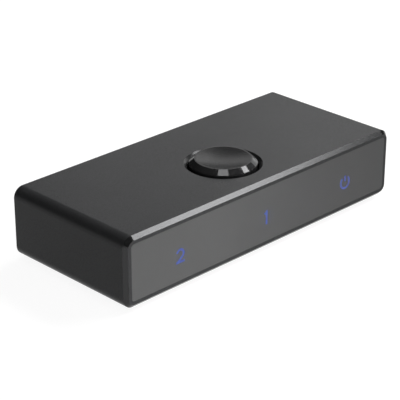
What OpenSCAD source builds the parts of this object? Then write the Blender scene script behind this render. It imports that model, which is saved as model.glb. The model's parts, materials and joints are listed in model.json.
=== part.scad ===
// Two-way video selector box. An extruded aluminium sleeve is closed by a front
// and a rear panel. A round push button on top works a tactile switch, three
// symbols light up in front and the sockets face the rear.
// Millimetres, +Z up, front towards -Y, origin on the table under the centre.

/* [Sleeve] */
// Width of the sleeve, side to side
body_w = 92; // [88:1:120]
// Depth of the sleeve, front rim to rear rim
body_d = 40; // [38:1:60]
// Height of the sleeve, without the feet
body_h = 18; // [16.5:0.5:26]
// Wall of the extrusion
wall = 1.8; // [1.4:0.1:2.4]
// Outer radius of the four long edges
corner_r = 2.7; // [2.2:0.1:3.6]
// 45 degree bevel round the front and the rear rim
rim_bevel = 0.9; // [0.3:0.1:1.2]
// How far a board rail stands out of the side wall
rail_out = 1.6; // [1:0.1:2.2]
// Height of a board rail
rail_t = 1.2; // [0.8:0.1:1.6]
// Outer radius of a screw channel
channel_r = 2.2; // [1.8:0.1:2.6]
// Radius of the hole in a screw channel
channel_bore_r = 1.05; // [0.8:0.05:1.3]
// Width of the slot along a screw channel
channel_slot = 1.2; // [0.8:0.1:1.6]
// Web that joins a screw channel to the side wall
channel_web = 1.6; // [1:0.1:2.2]
// From the side wall to a screw channel's centre
channel_in = 3.1; // [2.8:0.1:3.4]
// From the sleeve's ceiling down to a screw channel's centre
channel_drop = 3; // [2.8:0.1:3.4]

/* [Panels] */
// Thickness of the front panel
front_panel_t = 2; // [1.6:0.1:2.6]
// Thickness of the rear panel
rear_panel_t = 2; // [1.4:0.1:2.6]
// Seam between a panel and the sleeve
panel_gap = 0.05; // [0.03:0.01:0.2]
// Length of the pegs that hold the front panel
peg_len = 5; // [3:0.5:8]
// Radius of a panel screw's head
screw_head_r = 2.1; // [1.7:0.1:2.4]
// Length of a panel screw
screw_len = 7; // [5:0.5:10]
// Width of a bar of the cross recess in a screw's head
recess_bar = 0.5; // [0.3:0.1:0.7]
// Length of a bar of the cross recess
recess_l = 2.6; // [1.8:0.1:3]
// Depth of the cross recess
recess_depth = 0.6; // [0.3:0.1:0.9]

/* [Feet] */
// Diameter of a foot
foot_d = 8; // [6:0.5:11]
// Height of a foot
foot_h = 1; // [0.6:0.1:2]
// Bevel round the underside of a foot
foot_bevel = 0.3; // [0.1:0.1:0.5]
// From the sleeve's sides and rims to a foot's centre
foot_inset = 8; // [7:0.5:12]

/* [Button] */
// From the front rim to the button's centre
button_setback = 14.8; // [13.6:0.1:18]
// Diameter of the button's hole in the sleeve
button_hole_d = 17.7; // [15:0.1:19]
// 45 degree bevel round the hole
button_hole_bevel = 0.9; // [0.4:0.1:1.2]
// Width of the cap's bevel, seen from above
cap_bevel = 1.3; // [0.4:0.1:2]
// Height of the cap's top above the sleeve
cap_rise = 1.33; // [0.8:0.01:2.4]
// Height of the foot of the cap's bevel above the sleeve
cap_side_rise = 0.23; // [0:0.01:0.5]
// Depth of the dish in the cap
dish_depth = 0.55; // [0.2:0.05:0.8]
// Flat lip round the dish
dish_lip = 0.35; // [0.1:0.05:1]
// Wall of the cap's skirt
cap_wall = 1.2; // [0.8:0.1:1.6]
// Thickness of the cap below its dish
cap_roof = 1.2; // [0.8:0.1:1.5]
// Number of snap barbs
barb_count = 4; // [3:1:6]
// Width of a snap barb
barb_w = 4; // [2.5:0.1:5]
// Height of a snap barb
barb_h = 1.4; // [1:0.1:2]
// Upright edge of a snap barb
barb_edge = 0.5; // [0.3:0.1:0.8]
// How far a snap barb reaches under the sleeve
barb_grip = 0.5; // [0.3:0.05:0.8]
// Slots that let a snap barb flex
barb_slot = 0.8; // [0.5:0.1:1.2]
// Thickness of the ribs inside the cap
cap_rib_t = 0.8; // [0.5:0.1:1.2]
// Depth of the ribs inside the cap
cap_rib_h = 1.6; // [0.8:0.1:2]
// Depth of the socket that takes the switch's stem
stem_socket = 1.4; // [0.8:0.1:2]
// Wall of that socket at its corners
stem_socket_wall = 0.9; // [0.6:0.1:1.4]
// Travel of the button
button_travel = 0.5; // [0.3:0.05:0.6]

/* [Switch] */
// Side of the square switch
switch_w = 12; // [10:0.1:13]
// Floor of the switch's moulded base
switch_floor = 1.1; // [0.6:0.1:1.5]
// Bevel at the corners of the switch's base
switch_corner = 0.8; // [0.3:0.1:1.4]
// Height of the stem's end above the board
switch_h = 7.3; // [6.6:0.1:8]
// Thickness of the cover plate
cover_t = 0.6; // [0.3:0.1:0.8]
// Thickness of the cover plate's side tabs
cover_tab_t = 0.4; // [0.2:0.1:0.6]
// Width of the cover plate's side tabs
cover_tab_w = 5; // [3:0.5:7]
// Length of the cover plate's side tabs
cover_tab_h = 2.4; // [1.4:0.1:2.6]
// Diameter of the stem
stem_d = 6.8; // [5:0.1:7.4]
// Diameter of the stem's flange
stem_flange_d = 8.6; // [7.8:0.1:9]
// Thickness of the stem's flange
stem_flange_t = 0.8; // [0.5:0.1:1]
// Side of the stem's square end
stem_square = 3.8; // [3:0.1:4.2]
// Height of the round part of the stem above the cover plate
stem_collar = 0.7; // [0.6:0.1:1.2]
// Diameter of the nub that presses the dome
stem_nub_d = 2.4; // [1.5:0.1:3]
// Length of that nub
stem_nub_h = 0.25; // [0.1:0.05:0.5]
// Height that the snap dome keeps when it is pressed
dome_spare = 0.15; // [0.05:0.05:0.4]
// Thickness of the snap dome
dome_t = 0.15; // [0.1:0.01:0.2]
// Width of a switch terminal
terminal_w = 1; // [0.6:0.1:1.4]
// Thickness of a switch terminal
terminal_t = 0.4; // [0.2:0.05:0.6]
// Distance between the two terminals of a side
terminal_pitch = 5; // [4:0.1:7]
// Height of a terminal against the base
terminal_h = 1.2; // [0.8:0.1:2]

/* [Indicators] */
// Distance of the outer symbols from the ends of the box
symbol_inset = 17; // [14:0.5:21]
// Height of the symbols' centres above the underside of the sleeve
symbol_height = 8.2; // [7.6:0.1:8.8]
// Height of a lit symbol
symbol_h = 3.7; // [3.2:0.1:3.9]
// Width of a symbol's lines
symbol_pen = 0.55; // [0.4:0.05:0.7]
// Radius of the numeral two's bow
two_bow_r = 1.05; // [0.8:0.05:1.2]
// Angle at which the numeral two's bow starts
two_bow_start = 165; // [140:5:180]
// How far the numeral one's flag reaches to the left
one_flag_w = 0.75; // [0.5:0.05:1]
// How far the tip of the numeral one's flag is below its top
one_flag_drop = 0.8; // [0.6:0.05:1]
// Half the opening of the power symbol's ring, in degrees
power_open = 38; // [30:1:45]
// Length of the power symbol's bar
power_bar_l = 1.55; // [1.2:0.05:1.8]
// Width of a light guide
guide_w = 5.2; // [5:0.1:7]
// Straight run of a light guide's top
guide_run = 1.6; // [1.4:0.1:2.2]
// Depth of a light guide's pocket in the front panel
guide_pocket = 1.2; // [0.6:0.1:1.4]
// Radius of a light guide's shoulder
guide_shoulder_r = 0.8; // [0.6:0.05:0.85]
// Radius of a light guide's peg
guide_peg_r = 0.4; // [0.3:0.05:0.45]
// Length of a lamp
led_l = 1.6; // [1:0.1:1.7]
// Length of a lamp's lens
led_lens_l = 1.1; // [0.7:0.1:1.4]
// Width of a lamp
led_w = 0.8; // [0.5:0.1:1.2]
// Height of a lamp
led_h = 0.45; // [0.3:0.05:0.6]
// Height of a lamp's base
led_base_h = 0.2; // [0.1:0.05:0.25]

/* [Board] */
// Thickness of the circuit board
board_t = 1.6; // [1:0.1:1.8]
// Height of the board's underside above the sleeve's floor
board_lift = 2; // [1.8:0.1:2.4]
// Corner radius of the board
board_r = 1; // [0.5:0.1:2]
// Length of legs and pins below the board
pin_past = 1; // [0.5:0.1:1.4]

/* [Video sockets] */
// Width of the mouth
video_w = 14; // [13:0.1:15]
// Height of the mouth
video_h = 4.55; // [4:0.05:5]
// Width of the mouth's floor
video_floor_w = 11; // [9.5:0.1:12]
// Height of the mouth's upright sides
video_side_h = 2.9; // [2:0.1:3.4]
// Depth of a socket
video_depth = 11.4; // [10:0.1:12.4]
// Sheet of the shell
video_sheet = 0.4; // [0.25:0.05:0.5]
// Depth of the insulator's block
video_block = 3.2; // [2.4:0.1:4]
// Width of the tongue
video_tongue_w = 11; // [10.4:0.1:11.8]
// Thickness of the tongue
video_tongue_t = 1.2; // [1:0.05:1.5]
// From the mouth to the tongue's tip
video_tongue_back = 1.6; // [0.8:0.1:2.4]
// Number of contacts
video_contacts = 19; // [11:2:19]
// Distance between neighbouring contacts
video_contact_pitch = 0.5; // [0.46:0.01:0.54]
// Width of a contact
video_contact_w = 0.3; // [0.2:0.02:0.36]
// Distance between neighbouring sockets
video_pitch = 22; // [20:0.5:23]
// Place of the middle socket, from the centre
video_middle_x = -8; // [-9:0.5:-7]

/* [Power socket] */
// Width of the mouth
power_w = 6.9; // [6.4:0.1:7.6]
// Height of the mouth
power_h = 1.85; // [1.7:0.05:2.4]
// Width of the mouth's floor
power_floor_w = 5.4; // [4.6:0.1:6]
// Height of the mouth's upright sides
power_side_h = 1.1; // [0.8:0.05:1.4]
// Depth of the socket
power_depth = 5.6; // [5:0.1:7]
// Sheet of the shell
power_sheet = 0.3; // [0.2:0.05:0.4]
// Depth of the insulator's block
power_block = 1.6; // [1:0.1:2.2]
// Width of the tongue
power_tongue_w = 3.8; // [3.4:0.1:4.2]
// Thickness of the tongue
power_tongue_t = 0.6; // [0.5:0.05:0.7]
// Height of the tongue's middle above the mouth's floor
power_tongue_z = 1.15; // [1:0.05:1.2]
// From the mouth to the tongue's tip
power_tongue_back = 1; // [0.5:0.1:1.6]
// Number of contacts
power_contacts = 5; // [3:2:5]
// Distance between neighbouring contacts
power_contact_pitch = 0.65; // [0.6:0.01:0.7]
// Width of a contact
power_contact_w = 0.25; // [0.2:0.02:0.4]
// Distance of the socket's middle from the right end of the box
power_inset = 13.5; // [12:0.5:15]

/* [Socket details] */
// From the rear rim to the sockets' mouths
mouth_back = 0.2; // [0:0.05:0.6]
// Thickness of a contact
contact_t = 0.15; // [0.1:0.01:0.2]
// Length of a contact's foot on the board
contact_foot = 0.9; // [0.5:0.1:1.2]
// From the tongue's tip to the contacts
contact_back = 0.5; // [0.2:0.1:1]
// Width of a shell's leg
leg_w = 1.2; // [0.8:0.1:1.8]
// From the mouth to the front pair of a video shell's legs
leg_back = 4.6; // [3.6:0.1:6]
// From the insulator's rear to the shell's rear edge
shell_back = 0.4; // [0.2:0.1:0.8]
// How far a shell's springs reach into the mouth
spring_in = 0.3; // [0.1:0.05:0.4]
// Width of a shell's spring
spring_w = 1.5; // [0.8:0.1:2]
// Length of a shell's spring
spring_l = 2.8; // [1.6:0.1:3]
// From the mouth to a shell's springs
spring_back = 1; // [0.4:0.1:1.2]

/* [Chips] */
// Side of the switching chip
chip_w = 10; // [7:0.5:11]
// Height of the switching chip
chip_h = 1.4; // [1:0.1:2]
// Leads on each side of the switching chip
chip_leads = 16; // [8:1:16]
// Distance between neighbouring leads of the switching chip
chip_pitch = 0.5; // [0.4:0.05:0.55]
// Width of a switching chip's lead
chip_lead_w = 0.22; // [0.15:0.01:0.28]
// Place of the switching chip, from the centre to the side
chip_x = -19; // [-22:0.5:-16]
// Place of the switching chip, from the centre to the rear
chip_y = -3.5; // [-5:0.5:-3]
// Width of the control chip
control_w = 4.9; // [4:0.1:7]
// Depth of the control chip
control_d = 3.9; // [3:0.1:5]
// Height of the control chip
control_h = 1.5; // [1:0.1:2]
// Leads on each side of the control chip
control_leads = 4; // [3:1:5]
// Distance between neighbouring leads of the control chip
control_pitch = 1.27; // [0.8:0.01:1.3]
// Width of a control chip's lead
control_lead_w = 0.42; // [0.3:0.02:0.6]
// Place of the control chip, from the centre to the side
control_x = 16; // [13:0.5:19]
// Place of the control chip, from the centre to the rear
control_y = -3; // [-5:0.5:0]
// Width of the regulator
regulator_w = 6.5; // [5:0.1:7]
// Depth of the regulator
regulator_d = 3.5; // [2.5:0.1:4]
// Height of the regulator
regulator_h = 1.6; // [1.2:0.1:2]
// Distance between neighbouring leads of the regulator
regulator_pitch = 2.3; // [1.5:0.1:2.4]
// Leads on the front side of the regulator
regulator_lead_count = 3; // [2:1:3]
// Width of a regulator's lead
regulator_lead_w = 0.7; // [0.5:0.05:0.9]
// Width of the regulator's cooling tab
regulator_tab_w = 3; // [2:0.1:4]
// Distance of the regulator's middle from the right end of the box
regulator_inset = 14; // [12:0.5:17]
// Place of the regulator, from the centre to the rear
regulator_y = 5; // [4:0.5:6]
// Thickness of the chips' leads
lead_t = 0.15; // [0.1:0.01:0.25]
// Reach of the chips' leads
lead_reach = 1; // [0.9:0.05:1.4]
// Length of a lead's foot
lead_foot = 0.5; // [0.35:0.05:0.6]
// Upper straight part of a lead
lead_knee = 0.15; // [0.05:0.05:0.2]
// Bevel at the chips' corners
chip_corner = 0.15; // [0.05:0.05:0.3]

/* [Small parts] */
// Length of a protection array
array_l = 2.5; // [1.6:0.1:3]
// Width of a protection array
array_w = 1; // [0.6:0.1:1.3]
// Height of a protection array
array_h = 0.55; // [0.4:0.05:0.8]
// From a video socket's middle to its protection arrays
array_x = 3; // [2:0.1:4.5]
// From the contacts' feet to the protection arrays
array_back = 1; // [0.4:0.1:1.4]
// Length of a resistor or ceramic capacitor
passive_l = 1.6; // [1:0.1:2]
// Width of a resistor or ceramic capacitor
passive_w = 0.8; // [0.5:0.05:1.2]
// Length of its end caps
passive_end = 0.3; // [0.2:0.05:0.4]
// Step from its end caps down to its body
passive_step = 0.03; // [0.02:0.01:0.05]
// Height of a ceramic capacitor
capacitor_h = 0.8; // [0.5:0.05:1]
// Height of a resistor
resistor_h = 0.45; // [0.3:0.05:0.6]
// Number of ceramic capacitors
capacitors = 7; // [3:1:7]
// Number of resistors
resistors = 7; // [3:1:7]
// Distance between neighbours in a row
passive_pitch = 2.6; // [2.2:0.1:2.8]
// From the front rim to the rows
passive_setback = 5.5; // [4:0.1:7]
// Diameter of the bulk capacitor's can
can_d = 6.3; // [5:0.1:8]
// Height of the bulk capacitor's can
can_h = 5.2; // [4:0.1:7]
// Rounded top edge of the can
can_edge_r = 0.5; // [0.2:0.1:0.8]
// Thickness of the bulk capacitor's base
can_base_h = 0.9; // [0.6:0.1:1.4]
// How far the base stands out round the can
can_base_rim = 0.15; // [0.1:0.05:0.4]
// Bevel at the corners of the base
can_base_bevel = 0.8; // [0.3:0.1:1.6]
// Distance of the bulk capacitor's axis from the right end of the box
can_inset = 13; // [12:0.5:18]
// Place of the bulk capacitor, from the centre to the rear
can_y = -5; // [-7:0.5:-4]

/* [Clearances] */
// Between the button's cap and its hole
cap_clear = 0.4; // [0.2:0.05:0.5]
// Between the snap barbs and the sleeve's ceiling
barb_clear = 0.3; // [0.15:0.05:0.5]
// Between the stem and what it slides in
stem_clear = 0.2; // [0.1:0.02:0.25]
// Between the stem and the parts it presses
press_clear = 0.03; // [0.01:0.01:0.05]
// Round the stem's flange in the well of the base
well_clear = 0.4; // [0.2:0.05:0.6]
// Round the dome in the well of the base
dome_clear = 0.7; // [0.3:0.05:1]
// Between the board and the panels
board_end_clear = 0.2; // [0.1:0.05:0.5]
// Between the board and the sleeve's sides
board_side_clear = 0.3; // [0.1:0.05:0.5]
// Above the board in its rails
board_rail_clear = 0.15; // [0.05:0.05:0.3]
// Round legs, pins and pegs in the board
hole_clear = 0.15; // [0.05:0.05:0.25]
// Round a socket in the rear panel
cutout_clear = 0.25; // [0.1:0.05:0.5]
// Between an insulator and its shell
insulator_clear = 0.05; // [0.02:0.01:0.1]
// Round a contact in its insulator
contact_clear = 0.01; // [0.01:0.01:0.04]
// Round pegs and screws in their channels
channel_clear = 0.05; // [0.02:0.01:0.15]
// Round a screw's shank in the rear panel
screw_clear = 0.2; // [0.1:0.05:0.4]
// Round a screw's head, and below the panel's face
head_clear = 0.1; // [0.05:0.05:0.2]
// Round a light guide in its pocket
guide_clear = 0.1; // [0.05:0.05:0.2]
// Round a light guide's tip in its window
window_clear = 0.05; // [0.03:0.01:0.1]
// Between a lamp and its light guide
led_clear = 0.15; // [0.1:0.05:0.3]

/* [Hidden] */
$fn = 64;

// Overlap of shapes that fuse, and overshoot of cuts
join = 0.2;
past = 1;
// Inner radius that is left where the wall takes up the outer one
least_r = 0.3;

half_w = body_w / 2;
half_d = body_d / 2;
front_y = -half_d;
rear_y = half_d;
front_inner_y = front_y + front_panel_t;
rear_inner_y = rear_y - rear_panel_t;
base_z = foot_h;
top_z = base_z + body_h;
middle_z = base_z + body_h / 2;
floor_z = base_z + wall;
ceiling_z = top_z - wall;
inner_w = body_w - 2 * wall;
inner_h = body_h - 2 * wall;
inner_r = max(corner_r - wall, least_r + panel_gap);
channel_x = inner_w / 2 - channel_in;
channel_z = ceiling_z - channel_drop;
screw_r = channel_bore_r - channel_clear;

board_z = floor_z + board_lift;
board_top = board_z + board_t;
board_w = inner_w - 2 * board_side_clear;
board_front_y = front_inner_y + board_end_clear;
board_rear_y = rear_inner_y - board_end_clear;
board_d = board_rear_y - board_front_y;
pin_z = board_z - pin_past;

button_y = front_y + button_setback;
hole_r = button_hole_d / 2;
cap_r = hole_r - cap_clear;
cap_top_r = cap_r - cap_bevel;
cap_top_z = top_z + cap_rise;
cap_roof_z = cap_top_z - dish_depth - cap_roof;
cap_cavity_r = cap_r - cap_wall;
dish_edge_r = cap_top_r - dish_lip;
dish_r = (dish_edge_r * dish_edge_r + dish_depth * dish_depth) / (2 * dish_depth);
barb_top_z = ceiling_z - barb_clear;
barb_low_z = barb_top_z - barb_h;
barb_r = hole_r + barb_grip;
stem_top_z = board_top + switch_h;
stem_socket_w = stem_square + 2 * stem_clear;
post_r = stem_socket_w / sqrt(2) + stem_socket_wall;
post_low_z = stem_top_z - stem_socket;
dome_h = button_travel + dome_t + dome_spare;
well_r = stem_flange_d / 2 + well_clear;
well_z = board_top + switch_floor;
dome_edge_r = well_r - dome_clear;
dome_r = (dome_edge_r * dome_edge_r + dome_h * dome_h) / (2 * dome_h);
dome_top_z = well_z + dome_h;
stem_nub_z = dome_top_z + press_clear;
stem_flange_z = stem_nub_z + stem_nub_h;
cover_z = stem_flange_z + stem_flange_t + press_clear;

symbol_z = base_z + symbol_height;
guide_low_z = board_top + led_h + led_clear;
guide_h = 2 * (symbol_z - guide_low_z);
guide_front_y = front_inner_y - guide_pocket + guide_clear;
led_y = guide_front_y + guide_run + guide_h / 2;
guide_peg_x = guide_w / 2 - guide_shoulder_r;
symbol_pitch = body_w / 2 - symbol_inset;
symbol_x = [-symbol_pitch, 0, symbol_pitch];
symbols = ["two", "one", "power"];
two_bow = [0, (symbol_h - symbol_pen) / 2 - two_bow_r];
two_foot = [-two_bow_r, (symbol_pen - symbol_h) / 2];
two_slant = two_foot - two_bow;
// Angle at which the bow runs into the slanted line without a kink
two_bow_end = atan2(two_slant[1], two_slant[0]) + acos(two_bow_r / norm(two_slant));
two_bow_steps = 24;

mouth_y = rear_y - mouth_back;
power_x = body_w / 2 - power_inset;
regulator_x = body_w / 2 - regulator_inset;
can_x = body_w / 2 - can_inset;
video_x = [video_middle_x - video_pitch, video_middle_x, video_middle_x + video_pitch];
array_y = mouth_y - video_depth - contact_foot - array_back - array_w / 2;

video_leg_y = [-leg_back, shell_back + leg_w - video_depth];
power_leg_y = [shell_back + leg_w - power_depth];
// Sizes that the socket modules share: mouth, floor, sides, depth, sheet, rows of legs
video = [video_w, video_h, video_floor_w, video_side_h, video_depth, video_sheet, video_leg_y];
power = [power_w, power_h, power_floor_w, power_side_h, power_depth, power_sheet, power_leg_y];
video_tongue_z = video_h / 2;
function mouth_w(socket) = socket[0];
function mouth_h(socket) = socket[1];
function floor_w(socket) = socket[2];
function side_h(socket) = socket[3];
function depth(socket) = socket[4];
function sheet(socket) = socket[5];
function leg_rows(socket) = socket[6];

// Normal to the left of a line
function left_of(from, to) = [from[1] - to[1], to[0] - from[0]] / norm(to - from);

// Path moved to its left, with mitred corners
function beside(path, distance) = [
    for (i = [0 : len(path) - 1])
        let (
            last = len(path) - 1,
            before = left_of(path[max(i, 1) - 1], path[max(i, 1)]),
            after = left_of(path[min(i, last - 1)], path[min(i, last - 1) + 1])
        )
        path[i] + distance * (before + after) / (1 + before * after)
];

// Line of even width along a path
module pen_line(path, width) {
    left = beside(path, width / 2);
    right = beside(path, -width / 2);
    polygon(concat(left, [for (i = [len(right) - 1 : -1 : 0]) right[i]]));
}

// The symbols round their centres, spread outwards all round
module symbol_two(spread) {
    pen = symbol_pen + 2 * spread;
    start = two_bow_start + spread / two_bow_r * 180 / PI;
    bow = [
        for (i = [0 : two_bow_steps])
            let (a = start + (two_bow_end - start) * i / two_bow_steps)
            two_bow + two_bow_r * [cos(a), sin(a)]
    ];
    pen_line(concat(bow, [two_foot]), pen);
    translate([0, two_foot[1]]) square([2 * two_bow_r + pen, pen], center = true);
}

module symbol_one(spread) {
    pen = symbol_pen + 2 * spread;
    top = [0, symbol_h / 2 - symbol_pen];
    tip = [-one_flag_w, symbol_h / 2 - one_flag_drop];
    square([pen, symbol_h + 2 * spread], center = true);
    pen_line([tip + (tip - top) / norm(tip - top) * spread, top], pen);
}

module symbol_power(spread) {
    ring_r = symbol_h / 2 - symbol_pen;
    bar_l = power_bar_l + 2 * spread;
    side = [sin(power_open), cos(power_open)];
    other_side = [-sin(power_open), cos(power_open)];
    difference() {
        circle(symbol_h / 2 + spread);
        circle(ring_r - spread);
        translate([0, spread / sin(power_open)]) polygon([[0, 0], symbol_h * side, symbol_h * other_side]);
    }
    translate([0, (symbol_h - power_bar_l) / 2])
        square([symbol_pen + 2 * spread, bar_l], center = true);
}

module symbol(kind, spread) {
    if (kind == "two") symbol_two(spread);
    if (kind == "one") symbol_one(spread);
    if (kind == "power") symbol_power(spread);
}

// Rectangle with round corners
module rounded_rect(w, h, r) {
    square([w - 2 * r, h], center = true);
    square([w, h - 2 * r], center = true);
    for (x = [-1, 1], y = [-1, 1])
        translate([x * (w / 2 - r), y * (h / 2 - r)]) circle(r);
}

// Rectangle with bevelled corners
module bevelled_rect(w, h, bevel) {
    polygon([
        [bevel - w / 2, -h / 2], [w / 2 - bevel, -h / 2], [w / 2, bevel - h / 2], [w / 2, h / 2 - bevel],
        [w / 2 - bevel, h / 2], [bevel - w / 2, h / 2], [-w / 2, h / 2 - bevel], [-w / 2, bevel - h / 2]
    ]);
}

// Extrudes a drawing of the XZ plane along Y
module along_y(y_low, y_high) {
    translate([0, y_high, 0]) rotate([90, 0, 0]) linear_extrude(y_high - y_low) children();
}

// Extrudes a drawing of the YZ plane along X, to both sides
module along_x(length) {
    rotate([90, 0, 90]) linear_extrude(length, center = true) children();
}

// Repeats a shape on the left and the right
module both_sides() {
    for (side = [0, 1]) mirror([side, 0, 0]) children();
}

// Round bar along Y
module bar_y(y_low, y_high, r) {
    along_y(y_low, y_high) circle(r);
}

// Solid with the sleeve's outside: flat faces, round long edges, bevelled rims
module sleeve_outside() {
    translate([0, 0, middle_z]) {
        along_x(body_w - 2 * corner_r) bevelled_rect(body_d, body_h, rim_bevel);
        linear_extrude(body_h - 2 * corner_r, center = true) bevelled_rect(body_w, body_d, rim_bevel);
        for (x = [-1, 1], z = [-1, 1])
            translate([x * (half_w - corner_r), 0, z * (body_h / 2 - corner_r)])
                rotate([90, 0, 0]) rotate_extrude() intersection() {
                    bevelled_rect(2 * corner_r, body_d, rim_bevel);
                    translate([0, -half_d]) square([corner_r, body_d]);
                }
    }
}

// The sleeve's opening, in the XZ plane, less a gap all round
module sleeve_opening(gap) {
    translate([0, middle_z]) rounded_rect(inner_w - 2 * gap, inner_h - 2 * gap, inner_r - gap);
}

// Two rails a side, which hold the board between them
module board_rails() {
    slot_top_z = board_top + board_rail_clear;
    both_sides() for (z = [board_z - rail_t, slot_top_z])
        translate([inner_w / 2 - rail_out, front_inner_y, z])
            cube([rail_out + join, rear_inner_y - front_inner_y, rail_t]);
}

// One slotted channel a side, for the pegs in front and the screws behind
module screw_channels() {
    both_sides() along_y(front_inner_y, rear_inner_y) translate([channel_x, channel_z]) difference() {
        union() {
            circle(channel_r);
            translate([0, -channel_web / 2]) square([channel_in + join, channel_web]);
        }
        circle(channel_bore_r);
        translate([-channel_r - past, -channel_slot / 2]) square([channel_r + past, channel_slot]);
    }
}

module button_hole() {
    translate([0, button_y, ceiling_z - past]) cylinder(h = wall + 2 * past, r = hole_r);
    translate([0, button_y, top_z - button_hole_bevel])
        cylinder(h = button_hole_bevel + past, r1 = hole_r, r2 = hole_r + button_hole_bevel + past);
}

module housing_sleeve() {
    color("#3f4042") difference() {
        union() {
            difference() {
                sleeve_outside();
                along_y(front_y - past, rear_y + past) sleeve_opening(0);
            }
            board_rails();
            screw_channels();
        }
        button_hole();
    }
}

module front_panel() {
    pocket_w = guide_w + 2 * guide_clear;
    pocket_h = guide_h + 2 * guide_clear;
    color("#4c4d50") difference() {
        union() {
            along_y(front_y, front_inner_y) sleeve_opening(panel_gap);
            both_sides() translate([channel_x, 0, channel_z])
                bar_y(front_inner_y - join, front_inner_y + peg_len, channel_bore_r - channel_clear);
        }
        for (x = symbol_x)
            translate([x - pocket_w / 2, front_inner_y - guide_pocket, symbol_z - pocket_h / 2])
                cube([pocket_w, guide_pocket + past, pocket_h]);
        for (i = [0 : len(symbols) - 1]) translate([symbol_x[i], 0, symbol_z])
            along_y(front_y - past, front_inner_y - guide_pocket + past) symbol(symbols[i], window_clear);
    }
}

module rear_panel() {
    sink_r = screw_head_r + head_clear;
    color("#3a3b3d") difference() {
        along_y(rear_inner_y, rear_y) sleeve_opening(panel_gap);
        for (x = video_x) at_mouth(x, video)
            along_y(-body_d, past) mouth(video, video_sheet + cutout_clear);
        at_mouth(power_x, power) along_y(-body_d, past) mouth(power, power_sheet + cutout_clear);
        both_sides() translate([channel_x, rear_y, channel_z]) {
            bar_y(-rear_panel_t - past, past, screw_r + screw_clear);
            rotate([-90, 0, 0]) translate([0, 0, -sink_r])
                cylinder(h = sink_r + past, r1 = 0, r2 = sink_r + past);
        }
    }
}

module rear_panel_screws() {
    color("#2a2a2c") both_sides() translate([channel_x, rear_y - head_clear, channel_z]) rotate([-90, 0, 0])
        difference() {
            union() {
                translate([0, 0, screw_r - screw_head_r])
                    cylinder(h = screw_head_r - screw_r, r1 = screw_r, r2 = screw_head_r);
                translate([0, 0, -screw_len]) cylinder(h = screw_len, r = screw_r);
            }
            for (turn = [0, 90]) rotate(turn)
                translate([-recess_l / 2, -recess_bar / 2, -recess_depth])
                    cube([recess_l, recess_bar, recess_depth + past]);
        }
}

module rubber_feet() {
    r = foot_d / 2;
    color("#161616") for (x = [-1, 1], y = [-1, 1])
        translate([x * (half_w - foot_inset), y * (half_d - foot_inset), 0]) rotate_extrude()
            polygon([[0, 0], [r - foot_bevel, 0], [r, foot_bevel], [r, foot_h], [0, foot_h]]);
}

module circuit_board() {
    color("#173d2a") difference() {
        translate([0, (board_front_y + board_rear_y) / 2, board_z])
            linear_extrude(board_t) rounded_rect(board_w, board_d, board_r);
        for (x = video_x) shell_legs(x, video, hole_clear);
        shell_legs(power_x, power, hole_clear);
        terminal_bars(hole_clear);
        for (x = symbol_x, side = [-1, 1])
            translate([x + side * guide_peg_x, led_y, board_z - past])
                cylinder(h = board_t + 2 * past, r = guide_peg_r + hole_clear);
    }
}

// Outline of a socket's mouth in the XZ plane, floor at zero, grown all round
module mouth(socket, grow) {
    w = mouth_w(socket);
    h = mouth_h(socket);
    rise = h - side_h(socket);
    lean = atan2((w - floor_w(socket)) / 2, rise);
    floor_half = floor_w(socket) / 2 + grow * tan((90 - lean) / 2);
    side_half = w / 2 + grow;
    shoulder = rise - grow * tan(lean / 2);
    polygon([
        [-floor_half, -grow], [floor_half, -grow], [side_half, shoulder],
        [side_half, h + grow], [-side_half, h + grow], [-side_half, shoulder]
    ]);
}

// Moves a socket from its own frame, mouth at zero and depth along -Y, to the board
module at_mouth(x, socket) {
    translate([x, mouth_y, board_top + sheet(socket)]) children();
}

// The legs of a shell, which pass through the board, grown for their holes
module shell_legs(x, socket, grow) {
    leg_top_z = board_top + sheet(socket) + mouth_h(socket) - side_h(socket) / 2;
    for (side = [-1, 1], y = leg_rows(socket))
        translate([x + side * (mouth_w(socket) + sheet(socket)) / 2, mouth_y + y, (leg_top_z + pin_z) / 2])
            cube([sheet(socket) + 2 * grow, leg_w + 2 * grow, leg_top_z - pin_z], center = true);
}

// Folded sheet shell with legs and inner springs
module socket_shell(x, socket) {
    color("#b9bcc0") {
        at_mouth(x, socket) {
            along_y(shell_back - depth(socket), 0) difference() {
                mouth(socket, sheet(socket));
                mouth(socket, 0);
            }
            for (side = [-1, 1]) translate([side * mouth_w(socket) / 4, -spring_back, mouth_h(socket)])
                along_x(spring_w) polygon([
                    [0, join], [0, 0], [-spring_l / 2, -spring_in], [-spring_l, 0], [-spring_l, join]
                ]);
        }
        shell_legs(x, socket, 0);
    }
}

// One bent strip, from the tongue through the block down to the board
module contact_strip(socket, z, tip_y, w, grow) {
    bend_y = -depth(socket);
    foot_z = -sheet(socket);
    along_x(w + 2 * grow) polygon([
        [tip_y + grow, z - grow], [tip_y + grow, z + contact_t + grow],
        [bend_y - contact_t, z + contact_t + grow], [bend_y - contact_t, foot_z + contact_t],
        [bend_y - contact_foot, foot_z + contact_t], [bend_y - contact_foot, foot_z],
        [bend_y, foot_z], [bend_y, z - grow]
    ]);
}

// The row of contacts: even ones on top of the tongue, odd ones below it, or all below
module contact_row(socket, count, pitch, w, tongue_z, tongue_t, tongue_back, two_sided, grow) {
    for (i = [0 : count - 1]) {
        below = !two_sided || i % 2 == 1;
        z = below ? tongue_z - tongue_t / 2 : tongue_z + tongue_t / 2 - contact_t;
        translate([(i - (count - 1) / 2) * pitch, 0, 0])
            contact_strip(socket, z, -tongue_back - contact_back, w, grow);
    }
}

module video_contact_row(grow) {
    contact_row(
        video, video_contacts, video_contact_pitch, video_contact_w,
        video_tongue_z, video_tongue_t, video_tongue_back, true, grow
    );
}

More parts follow.
